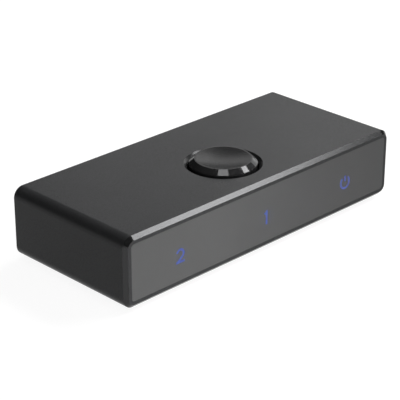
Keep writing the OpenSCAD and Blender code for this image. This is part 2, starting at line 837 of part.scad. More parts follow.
module power_contact_row(grow) {
    contact_row(
        power, power_contacts, power_contact_pitch, power_contact_w,
        power_tongue_z, power_tongue_t, power_tongue_back, false, grow
    );
}

// Moulded block with its tongue. The children are the contacts that it holds
module socket_insulator(socket, block, tongue_w, tongue_t, tongue_z, tongue_back) {
    tongue_l = depth(socket) - tongue_back - block + join;
    difference() {
        union() {
            along_y(-depth(socket), block - depth(socket)) mouth(socket, -insulator_clear);
            translate([-tongue_w / 2, -tongue_back - tongue_l, tongue_z - tongue_t / 2])
                cube([tongue_w, tongue_l, tongue_t]);
        }
        children();
    }
}

module video_socket_shell(x) {
    socket_shell(x, video);
}

module video_socket_insulator(x) {
    color("#1b1b1d") at_mouth(x, video)
        socket_insulator(
            video, video_block, video_tongue_w, video_tongue_t, video_tongue_z, video_tongue_back
        ) video_contact_row(contact_clear);
}

module video_socket_contacts(x) {
    color("#d8b25a") at_mouth(x, video) video_contact_row(0);
}

module power_socket_shell() {
    socket_shell(power_x, power);
}

module power_socket_insulator() {
    color("#1b1b1d") at_mouth(power_x, power)
        socket_insulator(
            power, power_block, power_tongue_w, power_tongue_t, power_tongue_z, power_tongue_back
        ) power_contact_row(contact_clear);
}

module power_socket_contacts() {
    color("#d8b25a") at_mouth(power_x, power) power_contact_row(0);
}

// Skirted cap with a bevelled edge, filled
module cap_solid() {
    rotate_extrude() polygon([
        [0, barb_low_z], [cap_r, barb_low_z], [cap_r, top_z + cap_side_rise],
        [cap_top_r, cap_top_z], [0, cap_top_z]
    ]);
}

// One snap barb, flat on top and tapered below
module cap_barb() {
    intersection() {
        rotate_extrude() polygon([
            [cap_cavity_r, barb_low_z], [cap_r, barb_low_z], [barb_r, barb_top_z - barb_edge],
            [barb_r, barb_top_z], [cap_cavity_r, barb_top_z]
        ]);
        translate([0, -barb_w / 2, barb_low_z - past]) cube([barb_r + past, barb_w, barb_h + 2 * past]);
    }
}

// The two slots beside a barb
module barb_slots() {
    for (side = [-1, 1]) translate([0, side * (barb_w + barb_slot) / 2 - barb_slot / 2, barb_low_z - past])
        cube([barb_r + past, barb_slot, barb_h + past]);
}

module button_cap() {
    turn = 360 / barb_count;
    color("#1d1d1f") translate([0, button_y, 0]) {
        difference() {
            union() {
                cap_solid();
                for (i = [1 : barb_count]) rotate(i * turn) cap_barb();
            }
            translate([0, 0, cap_top_z - dish_depth + dish_r]) sphere(dish_r, $fn = 128);
            translate([0, 0, barb_low_z - past])
                cylinder(h = cap_roof_z - barb_low_z + past, r = cap_cavity_r);
            for (i = [1 : barb_count]) rotate(i * turn) barb_slots();
        }
        difference() {
            union() {
                translate([0, 0, post_low_z]) cylinder(h = cap_roof_z - post_low_z + join, r = post_r);
                for (i = [1 : barb_count]) rotate((i + 0.5) * turn)
                    translate([0, -cap_rib_t / 2, cap_roof_z - cap_rib_h])
                        cube([cap_cavity_r + join, cap_rib_t, cap_rib_h + join]);
            }
            translate([0, 0, stem_top_z + press_clear - stem_socket])
                cube([stem_socket_w, stem_socket_w, 2 * stem_socket], center = true);
        }
    }
}

module at_switch(z) {
    translate([0, button_y, z]) children();
}

module switch_base() {
    color("#232325") difference() {
        at_switch(board_top) linear_extrude(cover_z - board_top)
            bevelled_rect(switch_w, switch_w, switch_corner);
        at_switch(well_z) cylinder(h = cover_z - well_z + past, r = well_r);
    }
}

module switch_dome() {
    color("#c9c9c4") at_switch(dome_top_z - dome_r) difference() {
        sphere(dome_r, $fn = 128);
        sphere(dome_r - dome_t, $fn = 128);
        translate([0, 0, -dome_h - dome_r]) cube([4 * dome_r, 4 * dome_r, 4 * dome_r], center = true);
    }
}

module switch_stem() {
    collar_z = cover_z + cover_t + stem_collar;
    color("#2d2d30") {
        at_switch(stem_nub_z) cylinder(h = stem_nub_h + join, d = stem_nub_d);
        at_switch(stem_flange_z) cylinder(h = stem_flange_t, d = stem_flange_d);
        at_switch(stem_flange_z) cylinder(h = collar_z - stem_flange_z, d = stem_d);
        at_switch(collar_z - join)
            linear_extrude(stem_top_z - collar_z + join) square(stem_square, center = true);
    }
}

module switch_cover() {
    color("#a9abad") at_switch(cover_z) {
        linear_extrude(cover_t) difference() {
            square([switch_w, switch_w + 2 * cover_tab_t], center = true);
            circle(d = stem_d + 2 * stem_clear);
        }
        for (side = [-1, 1])
            translate([0, side * (switch_w + cover_tab_t) / 2, (cover_t - cover_tab_h) / 2])
                cube([cover_tab_w, cover_tab_t, cover_tab_h + cover_t], center = true);
    }
}

// The four terminals as bars through the board, grown for their holes
module terminal_bars(grow) {
    bar_h = board_top + terminal_h - pin_z;
    for (x = [-1, 1], y = [-1, 1])
        translate([x * (switch_w + terminal_t) / 2, y * terminal_pitch / 2, bar_h / 2]) at_switch(pin_z)
            cube([terminal_t + 2 * grow, terminal_w + 2 * grow, bar_h], center = true);
}

module switch_terminals() {
    color("#c4c6c8") terminal_bars(0);
}

module indicator_led(x) {
    color("#e8ecf5") translate([x, led_y, board_top]) {
        linear_extrude(led_base_h) square([led_l, led_w], center = true);
        linear_extrude(led_h) square([led_lens_l, led_w], center = true);
    }
}

// Clear prism: light enters from below, turns at the slope and leaves to the front
module light_guide(x, kind) {
    high_z = guide_low_z + guide_h;
    slope_y = guide_front_y + guide_run;
    color("#d7dde2") translate([x, 0, 0]) {
        along_x(guide_w) polygon([
            [guide_front_y, guide_low_z], [slope_y + guide_h, guide_low_z],
            [slope_y, high_z], [guide_front_y, high_z]
        ]);
        translate([0, 0, symbol_z]) along_y(front_y, guide_front_y + join) symbol(kind, 0);
        for (side = [-1, 1]) translate([side * guide_peg_x, led_y, 0]) {
            translate([0, 0, board_top]) cylinder(h = guide_low_z - board_top + join, r = guide_shoulder_r);
            translate([0, 0, board_z]) cylinder(h = board_t + join, r = guide_peg_r);
        }
    }
}

// Bent lead that leaves a chip at a height and stands on the board, along -Y
module gull_lead(exit_z, w) {
    foot_y = lead_foot - lead_reach;
    along_x(w) polygon([
        [0, exit_z], [0, exit_z + lead_t], [-lead_knee - lead_t, exit_z + lead_t],
        [foot_y - lead_t, lead_t], [-lead_reach, lead_t], [-lead_reach, 0],
        [foot_y, 0], [-lead_knee, exit_z]
    ]);
}

// A row of leads along the front side of a chip
module lead_row(count, pitch, w, chip_d, chip_h) {
    for (i = [0 : count - 1])
        translate([(i - (count - 1) / 2) * pitch, -chip_d / 2, 0]) gull_lead((chip_h - lead_t) / 2, w);
}

// Moulded chip body, bevelled at its corners
module chip_body(w, d, h) {
    linear_extrude(h) bevelled_rect(w, d, chip_corner);
}

module switching_chip() {
    color("#1a1a1c") translate([chip_x, chip_y, board_top]) chip_body(chip_w, chip_w, chip_h);
}

module switching_chip_leads() {
    color("#c4c6c8") translate([chip_x, chip_y, board_top])
        for (turn = [0 : 90 : 270]) rotate(turn)
            lead_row(chip_leads, chip_pitch, chip_lead_w, chip_w, chip_h);
}

module control_chip() {
    color("#1a1a1c") translate([control_x, control_y, board_top])
        chip_body(control_w, control_d, control_h);
}

module control_chip_leads() {
    color("#c4c6c8") translate([control_x, control_y, board_top])
        for (turn = [0, 180]) rotate(turn)
            lead_row(control_leads, control_pitch, control_lead_w, control_d, control_h);
}

module regulator() {
    color("#1a1a1c") translate([regulator_x, regulator_y, board_top])
        chip_body(regulator_w, regulator_d, regulator_h);
}

module regulator_leads() {
    color("#c4c6c8") translate([regulator_x, regulator_y, board_top]) {
        lead_row(regulator_lead_count, regulator_pitch, regulator_lead_w, regulator_d, regulator_h);
        rotate(180) lead_row(1, 0, regulator_tab_w, regulator_d, regulator_h);
    }
}

module protection_arrays() {
    color("#202022") for (x = video_x, side = [-1, 1])
        translate([x + side * array_x, array_y, board_top]) chip_body(array_l, array_w, array_h);
}

// Ceramic body with two metal ends
module passive(h) {
    along_x(passive_l - 2 * passive_step) translate([passive_step - passive_w / 2, 0])
        square([passive_w - 2 * passive_step, h - passive_step]);
    for (side = [-1, 1]) translate([side * (passive_l - passive_end) / 2, -passive_w / 2, 0])
        along_x(passive_end) square([passive_w, h]);
}

// A row of passives along the front edge of the board, midway between two light guides
module passive_row(count, x, h) {
    for (i = [0 : count - 1])
        translate([x + (i - (count - 1) / 2) * passive_pitch, front_y + passive_setback, board_top])
            passive(h);
}

module ceramic_capacitors() {
    color("#9b7b58") passive_row(capacitors, -symbol_pitch / 2, capacitor_h);
}

module chip_resistors() {
    color("#2b2b2e") passive_row(resistors, symbol_pitch / 2, resistor_h);
}

module bulk_capacitor_can() {
    can_r = can_d / 2;
    color("#b8babd") translate([can_x, can_y, board_top + can_base_h]) rotate_extrude() {
        square([can_r, can_h - can_edge_r]);
        square([can_r - can_edge_r, can_h]);
        translate([can_r - can_edge_r, can_h - can_edge_r]) circle(can_edge_r);
    }
}

module bulk_capacitor_base() {
    side = can_d + 2 * can_base_rim;
    color("#1a1a1c") translate([can_x, can_y, board_top]) linear_extrude(can_base_h)
        bevelled_rect(side, side, can_base_bevel);
}

housing_sleeve();
front_panel();
rear_panel();
rear_panel_screws();
rubber_feet();
circuit_board();
video_socket_shell(video_x[0]);  // video_socket_shell_2
video_socket_shell(video_x[1]);  // video_socket_shell_1
video_socket_shell(video_x[2]);  // video_socket_shell_common
video_socket_insulator(video_x[0]);  // video_socket_insulator_2
video_socket_insulator(video_x[1]);  // video_socket_insulator_1
video_socket_insulator(video_x[2]);  // video_socket_insulator_common
video_socket_contacts(video_x[0]);  // video_socket_contacts_2
video_socket_contacts(video_x[1]);  // video_socket_contacts_1
video_socket_contacts(video_x[2]);  // video_socket_contacts_common
power_socket_shell();
power_socket_insulator();
power_socket_contacts();
button_cap();
switch_base();
switch_dome();
switch_stem();
switch_cover();
switch_terminals();
indicator_led(symbol_x[0]);  // indicator_led_2
indicator_led(symbol_x[1]);  // indicator_led_1
indicator_led(symbol_x[2]);  // indicator_led_power
light_guide(symbol_x[0], symbols[0]);  // light_guide_2
light_guide(symbol_x[1], symbols[1]);  // light_guide_1
light_guide(symbol_x[2], symbols[2]);  // light_guide_power
switching_chip();
switching_chip_leads();
control_chip();
control_chip_leads();
regulator();
regulator_leads();
protection_arrays();
ceramic_capacitors();
chip_resistors();
bulk_capacitor_can();
bulk_capacitor_base();
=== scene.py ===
"""Looks of the video selector box: finishes, studio and camera.

Metres, in the frame of the solids: +Z up, front towards -Y, table at z = 0.
"""
import json
import math

import bmesh
import bpy
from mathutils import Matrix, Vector


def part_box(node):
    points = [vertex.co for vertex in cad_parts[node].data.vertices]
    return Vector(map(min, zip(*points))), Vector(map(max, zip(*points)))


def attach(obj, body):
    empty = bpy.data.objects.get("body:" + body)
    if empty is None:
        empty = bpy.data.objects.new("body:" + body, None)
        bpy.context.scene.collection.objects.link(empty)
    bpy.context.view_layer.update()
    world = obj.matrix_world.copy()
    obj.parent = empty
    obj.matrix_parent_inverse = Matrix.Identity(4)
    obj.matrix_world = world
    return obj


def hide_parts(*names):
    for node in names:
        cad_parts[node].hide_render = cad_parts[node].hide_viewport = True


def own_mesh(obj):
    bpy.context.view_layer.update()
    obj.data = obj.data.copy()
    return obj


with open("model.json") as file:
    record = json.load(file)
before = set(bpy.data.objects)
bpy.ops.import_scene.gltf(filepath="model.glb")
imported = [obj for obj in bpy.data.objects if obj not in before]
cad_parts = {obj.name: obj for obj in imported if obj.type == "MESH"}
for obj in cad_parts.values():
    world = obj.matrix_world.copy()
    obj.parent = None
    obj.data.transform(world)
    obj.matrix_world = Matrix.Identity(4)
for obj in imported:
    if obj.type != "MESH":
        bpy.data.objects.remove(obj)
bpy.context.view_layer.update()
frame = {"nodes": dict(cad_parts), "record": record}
MM = 0.001

# Camera, as fitted to the photograph's outline. Angles in degrees
IMAGE_SIDE = 400
FOCAL_PIXELS = 1562.0
SENSOR = 36.0
CAMERA_AZIMUTH = -44.732
CAMERA_ELEVATION = 25.014
CAMERA_DISTANCE = 389.81 * MM
CAMERA_AIM = Vector((0, 0, 10 * MM))
CAMERA_CLIP = 10 * MM

# How far the aimed point lies to the right of the picture's centre, and above it
AIM_RIGHT = 2.039 * MM
AIM_UP = 2.563 * MM

# Places on the solids: the button's axis, the front's plane, the sleeve's top, the middles of the symbols
cap_low, cap_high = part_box("button_cap")
BUTTON_AXIS = (cap_low + cap_high) / 2
FRONT_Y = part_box("front_panel")[0].y
SLEEVE_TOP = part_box("housing_sleeve")[1].z
SYMBOL_Z = 9.2 * MM
SYMBOL_X = (-29 * MM, 0.0, 29 * MM)

# Radius of the button's top inside its bevel, reach of the bevel round its hole, and the depth of that hole's
# finish
BUTTON_TOP_R = 7.15 * MM
HOLE_BEVEL_R = 9.75 * MM
HOLE_DEPTH = 2 * MM

# How far a normal points along Y where a rim's bevel begins, and where it gives way to the end face
RIM_BEGINS = (0.45, 0.6)
RIM_ENDS = (0.8, 0.95)

# Share of the rims' smooth cut that the hole has, and how metallic that cut is
HOLE_CUT = 0.5
CUT_METALLIC = 0.8

# Width over which one finish runs into the next
SOFT_EDGE = 0.05 * MM

# Lit symbols: reach, colour and strength of the glow on the panel, the depths between which a tip's light
# fades, and the colour and strength of the lamps behind
HALO_REACH = (1.2 * MM, 3.4 * MM)
HALO_COLOUR = (0.05, 0.09, 0.55, 1)
HALO_STRENGTH = 0.02
TIP_FADE = (0.2 * MM, 0.6 * MM)
LAMP_COLOUR = (0.1, 0.2, 1.0, 1)
LAMP_STRENGTH = 0.6

# Tracks on the board: half their width, then axis, pitch and the noise level from which they are there, and
# the step of that level over which they begin
TRACK_HALF_W = 0.12 * MM
TRACKS = (("X", 1.3 * MM, 0.42), ("Y", 1.1 * MM, 0.5))
TRACK_STEP = 0.02

# How far a normal points along Z where the board's faces give way to its cut edges
BOARD_EDGE = (0.3, 0.6)

# Small parts in rows on the board: number, length, length of the ceramic between the tinned ends, and the
# width over which the tin begins
ROW_COUNT = 7
CHIP_LENGTH = 1.6 * MM
CERAMIC_LENGTH = 0.96 * MM
TIN_EDGE = 0.04 * MM

# Noise: levels that hold most of it, closer ones for more contrast, and the detail of a fine grain
NOISE_RANGE = (0.3, 0.7)
CONTRAST_RANGE = (0.35, 0.65)
FINE_DETAIL = 3.0

# Uneven gloss: share of the clouds that is added to the grain, and the levels that hold most of the sum
CLOUD_SHARE = 0.5
GLOSS_RANGE = (0.5, 1.0)

# Wear along edges: width, width on the sleeve, samples, how far the normal bends there, size and least
# strength of its patches, and what it leaves of the roughness
WEAR_WIDTH = 0.12 * MM
SLEEVE_WEAR_WIDTH = 0.1 * MM
WEAR_SAMPLES = 6
WEAR_BEND = (0.01, 0.2)
WEAR_PATCH = 0.8 * MM
WEAR_LEAST = 0.25
WEAR_GLOSS = 0.8

# Stretch of the grain along the way in which sheet and wire were drawn
DRAWN = (1, 30, 1)

# Finishes with the usual detail: the shader's colour and gloss, and then what Finish.textured takes
PLAIN_FINISHES = {
    "rear_panel_metal": (
        {"base": (0.070, 0.070, 0.071), "roughness": 0.48, "specular": 0.3},
        {"grain": 0.3 * MM, "height": 0.006 * MM, "tone": 0.05, "worn": (0.12, 0.12, 0.122)},
    ),
    "screw_metal": (
        {"base": (0.06, 0.06, 0.064), "roughness": 0.35, "metallic": 0.9},
        {"grain": 0.05 * MM, "height": 0.002 * MM, "tone": 0.15, "cloud": 1 * MM, "worn": (0.22, 0.22, 0.23)},
    ),
    "foot_rubber": (
        {"base": (0.012, 0.012, 0.013), "roughness": 0.85, "specular": 0.3},
        {
            "grain": 0.18 * MM, "height": 0.012 * MM, "tone": 0.25, "cloud": 2.5 * MM,
            "worn": (0.03, 0.03, 0.031),
        },
    ),
    "shell_metal": (
        {"base": (0.62, 0.62, 0.63), "roughness": 0.3, "metallic": 1.0},
        {
            "grain": 0.04 * MM, "height": 0.001 * MM, "tone": 0.08, "rough": 0.08, "cloud": 4 * MM,
            "stretch": DRAWN, "worn": (0.75, 0.75, 0.75),
        },
    ),
    "insulator_plastic": (
        {"base": (0.012, 0.012, 0.013), "roughness": 0.45},
        {"grain": 0.12 * MM, "height": 0.002 * MM, "tone": 0.12, "cloud": 3 * MM, "stretch": (1, 4, 1)},
    ),
    "contact_metal": (
        {"base": (0.83, 0.60, 0.24), "roughness": 0.25, "metallic": 1.0},
        {"grain": 0.03 * MM, "height": 0.001 * MM, "tone": 0.08, "cloud": 1.5 * MM, "stretch": DRAWN},
    ),
    "switch_plastic": (
        {"base": (0.02, 0.02, 0.022), "roughness": 0.5},
        {"grain": 0.1 * MM, "height": 0.002 * MM, "tone": 0.1, "cloud": 3 * MM},
    ),
    "stem_plastic": (
        {"base": (0.35, 0.33, 0.30), "roughness": 0.45},
        {"grain": 0.1 * MM, "height": 0.001 * MM, "tone": 0.05, "cloud": 3 * MM},
    ),
    "spring_metal": (
        {"base": (0.60, 0.59, 0.56), "roughness": 0.25, "metallic": 1.0},
        {"grain": 0.05 * MM, "height": 0.001 * MM, "tone": 0.06, "cloud": 2 * MM},
    ),
    "lead_metal": (
        {"base": (0.66, 0.66, 0.66), "roughness": 0.35, "metallic": 1.0},
        {"grain": 0.06 * MM, "height": 0.001 * MM, "tone": 0.08, "cloud": 1 * MM},
    ),
    "chip_epoxy": (
        {"base": (0.018, 0.018, 0.020), "roughness": 0.6},
        {"grain": 0.07 * MM, "height": 0.003 * MM, "tone": 0.15, "cloud": 2 * MM},
    ),
    "can_metal": (
        {"base": (0.65, 0.65, 0.66), "roughness": 0.3, "metallic": 1.0},
        {"grain": 0.03 * MM, "height": 0.001 * MM, "tone": 0.05, "cloud": 3 * MM, "stretch": (20, 20, 1)},
    ),
}

# Softboxes: name, azimuth and elevation in degrees, distance, width and height, brightness (1 is white)
SOFTBOXES = [
    ("key", 57.5, 44.0, 0.70, 0.202, 0.184, 15.4),
    ("top", -45, 75, 0.70, 0.26, 0.12, 6.0),
    ("over", 97, 46, 0.70, 0.40, 0.24, 9.0),
    ("side", 103, 14, 0.70, 0.31, 0.24, 1.4),
    ("back_low", 122, 21, 0.80, 0.22, 0.14, 1.35),
    ("back_high", 122, 31, 0.80, 0.22, 0.14, 1.5),
    ("rear_low", 138, 22, 0.80, 0.22, 0.15, 1.3),
    ("rear_high", 138, 31, 0.80, 0.22, 0.14, 0.3),
    ("fill", 5, 14, 0.50, 0.30, 0.20, 2.6),
    ("front", -12, 6, 0.24, 0.08, 0.05, 1.45),
]

# Gridded softbox: the point that it is turned to, and its spread in degrees. The others spread all round
GRIDS = {"front": (Vector((-32 * MM, FRONT_Y, 3 * MM)), 33)}
FULL_SPREAD = 180

# Sky: white up to the first elevation in degrees, and dim from the second
SKY_WHITE = 2.5
SKY_DIM = 5.5
SKY_DIM_LEVEL = 0.02

# Floor: its size, how far it lies under the feet, its colour under the lamps, and its own white
FLOOR_RADIUS = 3.0
FLOOR_SIDES = 96
FLOOR_DROP = 0.05 * MM
FLOOR_TONE = 0.2
FLOOR_WHITE = 0.91


def direction(azimuth, elevation):
    """Unit vector from the object to a place round it. Azimuth 0 is in front, 90 to the right."""
    a = math.radians(azimuth)
    e = math.radians(elevation)
    return Vector((math.sin(a) * math.cos(e), -math.cos(a) * math.cos(e), math.sin(e)))


class Nodes:
    """Short ways to write a node tree. A value is a number, a tuple or another node's socket."""

    def __init__(self, tree):
        self.nodes = tree.nodes
        self.links = tree.links

    def feed(self, socket, value):
        if isinstance(value, bpy.types.NodeSocket):
            self.links.new(value, socket)
        else:
            socket.default_value = value

    def add(self, kind, inputs=None, **settings):
        node = self.nodes.new(kind)
        for key, value in settings.items():
            setattr(node, key, value)
        for key, value in (inputs or {}).items():
            self.feed(node.inputs[key], value)
        return node

    def math(self, operation, first, second=0.0):
        return self.add("ShaderNodeMath", {0: first, 1: second}, operation=operation).outputs[0]

    def vector(self, operation, first, second=(0, 0, 0)):
        """A vector operation. Some of them give a number."""
        node = self.add("ShaderNodeVectorMath", {0: first, 1: second}, operation=operation)
        gives_number = operation in ("LENGTH", "DISTANCE", "DOT_PRODUCT")
        return node.outputs["Value" if gives_number else "Vector"]

    def part(self, vector, axis):
        """One coordinate of a vector."""
        return self.add("ShaderNodeSeparateXYZ", {0: vector}).outputs[axis]

    def span(self, factor, low, high, start=0.0, end=1.0):
        """Maps a factor from start..end to low..high with soft ends."""
        node = self.add(
            "ShaderNodeMapRange",
            {"Value": factor, "From Min": start, "From Max": end, "To Min": low, "To Max": high},
            interpolation_type="SMOOTHSTEP",
        )
        return node.outputs["Result"]

    def rise(self, value, start, end):
        """0 up to the start, 1 from the end."""
        return self.span(value, 0, 1, start, end)

    def fall(self, value, start, end):
        """1 up to the start, 0 from the end."""
        return self.span(value, 1, 0, start, end)


class Finish(Nodes):
    """A procedural material in object space, round one Principled shader."""

    def __init__(self, name, base, roughness, metallic=0.0, specular=0.5):
        self.material = bpy.data.materials.new(name)
        self.material.use_nodes = True
        super().__init__(self.material.node_tree)
        self.shader = self.nodes["Principled BSDF"]
        self.base = base
        self.roughness = roughness
        self.set("Base Color", (*base, 1))
        self.set("Roughness", roughness)
        self.set("Metallic", metallic)
        self.set("Specular IOR Level", specular)
        coordinates = self.add("ShaderNodeTexCoord")
        self.place = coordinates.outputs["Object"]
        self.normal = coordinates.outputs["Normal"]

    def set(self, socket, value):
        self.feed(self.shader.inputs[socket], value)

    def noise(self, size, detail=2.0, stretch=(1, 1, 1)):
        """Noise with blotches of that size in metres, drawn out along the axes by stretch."""
        scale = [1 / (size * s) for s in stretch]
        scaled = self.add("ShaderNodeMapping", {"Vector": self.place, "Scale": scale})
        texture = self.add(
            "ShaderNodeTexNoise",
            {"Vector": scaled.outputs["Vector"], "Scale": 1.0, "Detail": detail},
        )
        return texture.outputs["Fac"]

    def blend(self, factor, first, second):
        """Mixes two numbers."""
        return self.add("ShaderNodeMix", {0: factor, 2: first, 3: second}).outputs[0]

    def mix(self, factor, first, second):
        """Mixes two colours, each an RGB triple or a socket."""
        node = self.add("ShaderNodeMix", {0: factor}, data_type="RGBA")
        for socket, value in ((node.inputs[6], first), (node.inputs[7], second)):
            self.feed(socket, value if isinstance(value, bpy.types.NodeSocket) else (*value, 1))
        return node.outputs[2]

    def shade(self, factor, spread, base=None):
        """A colour that a factor makes darker and lighter by the spread."""
        base = base or self.base
        dark = [c * (1 - spread) for c in base]
        light = [c * (1 + spread) for c in base]
        return self.mix(factor, dark, light)

    def relief(self, *layers):
        """Stacks bumps, each a factor and its height in metres."""
        normal = None
        for factor, height in layers:
            node = self.add("ShaderNodeBump", {"Height": factor, "Distance": height})
            if normal:
                self.feed(node.inputs["Normal"], normal)
            normal = node.outputs["Normal"]
        self.set("Normal", normal)

    def from_axis(self, point):
        """Distance from the upright line through a point."""
        offset = self.vector("SUBTRACT", self.place, point)
        return self.vector("LENGTH", self.vector("MULTIPLY", offset, (1, 1, 0)))

    def edges(self, width):
        """1 along sharp edges, broken up as wear is."""
        rounded = self.add("ShaderNodeBevel", {"Radius": width}, samples=WEAR_SAMPLES).outputs["Normal"]
        sharp = self.add("ShaderNodeNewGeometry").outputs["True Normal"]
        bend = self.math("SUBTRACT", 1.0, self.vector("DOT_PRODUCT", rounded, sharp))
        patches = self.span(self.noise(WEAR_PATCH, FINE_DETAIL), WEAR_LEAST, 1, *CONTRAST_RANGE)
        return self.math("MULTIPLY", self.rise(bend, *WEAR_BEND), patches)

    def textured(self, grain, height, tone=0.06, rough=0.05, cloud=12 * MM, stretch=(1, 1, 1), worn=None):
        """The usual detail: grain in the relief, cloudy tone, uneven gloss, and edges worn to a colour."""
        fine = self.noise(grain, FINE_DETAIL, stretch)
        broad = self.noise(cloud)
        colour = self.shade(self.rise(broad, *NOISE_RANGE), tone)
        gloss = self.math("ADD", fine, self.math("MULTIPLY", broad, CLOUD_SHARE))
        spread = self.span(gloss, self.roughness - rough, self.roughness + rough, *GLOSS_RANGE)
        if worn:
            edge = self.edges(WEAR_WIDTH)
            colour = self.mix(edge, colour, worn)
            spread = self.blend(edge, spread, self.roughness * WEAR_GLOSS)
        self.set("Base Color", colour)
        self.set("Roughness", spread)
        self.relief((fine, height))
        return self


def anodised_sleeve():
    """Blasted and anodised, with bevels cut smooth at the rims and less so round the button's hole."""
    finish = Finish("anodised_sleeve", (0.040, 0.0405, 0.042), 0.30, specular=0.11)
    facing = finish.math("ABSOLUTE", finish.part(finish.normal, "Y"))
    tilted = finish.math("MULTIPLY", finish.rise(facing, *RIM_BEGINS), finish.fall(facing, *RIM_ENDS))
    near_axis = finish.fall(finish.from_axis(BUTTON_AXIS), HOLE_BEVEL_R, HOLE_BEVEL_R + SOFT_EDGE)
    hole_low = SLEEVE_TOP - HOLE_DEPTH
    near_top = finish.rise(finish.part(finish.place, "Z"), hole_low, hole_low + 2 * SOFT_EDGE)
    hole = finish.math("MULTIPLY", near_axis, near_top)
    rim = finish.math("MULTIPLY", tilted, finish.math("SUBTRACT", 1.0, hole))
    cut = finish.math("MAXIMUM", rim, finish.math("MULTIPLY", hole, HOLE_CUT))
    grain = finish.noise(0.12 * MM, FINE_DETAIL)
    cloud = finish.noise(14 * MM)
    strokes = finish.noise(0.06 * MM, stretch=(40, 1, 1))
    blasted = finish.span(grain, 0.25, 0.35, *NOISE_RANGE)
    smooth = finish.span(strokes, 0.17, 0.21, *NOISE_RANGE)
    finish.set("Roughness", finish.blend(cut, blasted, smooth))
    body = finish.shade(finish.rise(cloud, *NOISE_RANGE), 0.04)
    worn = finish.mix(finish.edges(SLEEVE_WEAR_WIDTH), body, (0.060, 0.0605, 0.062))
    finish.set("Base Color", finish.mix(cut, worn, (0.040, 0.0403, 0.041)))
    finish.set("Metallic", finish.math("MULTIPLY", cut, CUT_METALLIC))
    finish.relief((finish.blend(cut, grain, strokes), 0.002 * MM))
    return finish


def front_panel_plastic():
    """Satin moulding, with a faint glow round the lit symbols."""
    finish = Finish("front_panel_plastic", (0.100, 0.100, 0.1005), 0.40, specular=0.14)
    finish.textured(0.11 * MM, 0.002 * MM, tone=0.03)
    glow = None
    for x in SYMBOL_X:
        away = finish.vector("DISTANCE", finish.place, (x, FRONT_Y, SYMBOL_Z))
        halo = finish.fall(away, *HALO_REACH)
        glow = finish.math("MAXIMUM", glow, halo) if glow else halo
    finish.set("Emission Color", HALO_COLOUR)
    finish.set("Emission Strength", finish.math("MULTIPLY", glow, HALO_STRENGTH))
    return finish


def button_plastic():
    """Glossy black with a metallic sheen, and a satin dish."""
    finish = Finish("button_plastic", (0.044, 0.044, 0.045), 0.08, specular=0.14)
    dish = finish.fall(finish.from_axis(BUTTON_AXIS), BUTTON_TOP_R - SOFT_EDGE, BUTTON_TOP_R)
    grain = finish.noise(0.1 * MM, FINE_DETAIL)
    smudge = finish.noise(3 * MM, FINE_DETAIL)
    satin = finish.span(grain, 0.20, 0.28, *NOISE_RANGE)
    gloss = finish.span(smudge, 0.06, 0.10, *CONTRAST_RANGE)
    finish.set("Roughness", finish.blend(dish, gloss, satin))
    dish_black = finish.shade(smudge, 0.06, (0.018, 0.018, 0.0185))
    finish.set("Base Color", finish.mix(dish, finish.base, dish_black))
    finish.set("Metallic", finish.span(dish, 0.5, 0))
    finish.relief((finish.math("MULTIPLY", grain, dish), 0.002 * MM))
    return finish


def guide_acrylic():
    """Clear acrylic whose tip, in the form of a symbol, is lit blue."""
    finish = Finish("guide_acrylic", (0.85, 0.89, 0.92), 0.12)
    tip = finish.fall(finish.part(finish.place, "Y"), *(FRONT_Y + depth for depth in TIP_FADE))
    spots = finish.noise(1.1 * MM)
    haze = finish.noise(0.2 * MM)
    clear = finish.shade(spots, 0.03)
    finish.set("Base Color", finish.mix(tip, clear, (0.02, 0.03, 0.12)))
    finish.set("Roughness", finish.span(haze, 0.08, 0.2, *NOISE_RANGE))
    uneven = finish.rise(spots, *CONTRAST_RANGE)
    finish.set("Emission Color", finish.mix(uneven, (0.035, 0.045, 0.20), (0.03, 0.06, 0.24)))
    finish.set("Emission Strength", tip)
    finish.relief((haze, 0.001 * MM))
    return finish


def lamp_resin():
    """Milky resin that is lit from inside, more at the top."""
    finish = Finish("lamp_resin", (0.80, 0.82, 0.85), 0.2)
    finish.textured(0.08 * MM, 0.001 * MM, cloud=0.5 * MM)
    low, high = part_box("indicator_led_1")
    lens = finish.span(finish.part(finish.place, "Z"), 0, LAMP_STRENGTH, (low.z + high.z) / 2, high.z)
    finish.set("Emission Color", LAMP_COLOUR)
    finish.set("Emission Strength", lens)
    return finish


def board_laminate():
    """Green mask over copper tracks, with bare laminate at the cut edges."""
    finish = Finish("board_laminate", (0.008, 0.070, 0.035), 0.3)
    fields = finish.noise(9 * MM)
    tracks = None
    for axis, pitch, start in TRACKS:
        wave = finish.math("PINGPONG", finish.part(finish.place, axis), pitch / 2)
        line = finish.fall(wave, TRACK_HALF_W, TRACK_HALF_W + SOFT_EDGE)
        there = finish.rise(finish.noise(7 * MM, 1.0), start, start + TRACK_STEP)
        line = finish.math("MULTIPLY", line, there)
        tracks = finish.math("MAXIMUM", tracks, line) if tracks else line
    mask = finish.mix(tracks, finish.shade(fields, 0.1), (0.016, 0.110, 0.052))
    weave = finish.noise(0.15 * MM, stretch=(1, 1, 3))
    upright = finish.math("ABSOLUTE", finish.part(finish.normal, "Z"))
    cut = finish.fall(upright, *BOARD_EDGE)
    finish.set("Base Color", finish.mix(cut, mask, finish.shade(weave, 0.2, (0.36, 0.31, 0.16))))
    finish.set("Roughness", finish.blend(cut, finish.span(fields, 0.24, 0.36, *NOISE_RANGE), 0.7))
    finish.relief((tracks, 0.03 * MM), (weave, 0.004 * MM))
    return finish


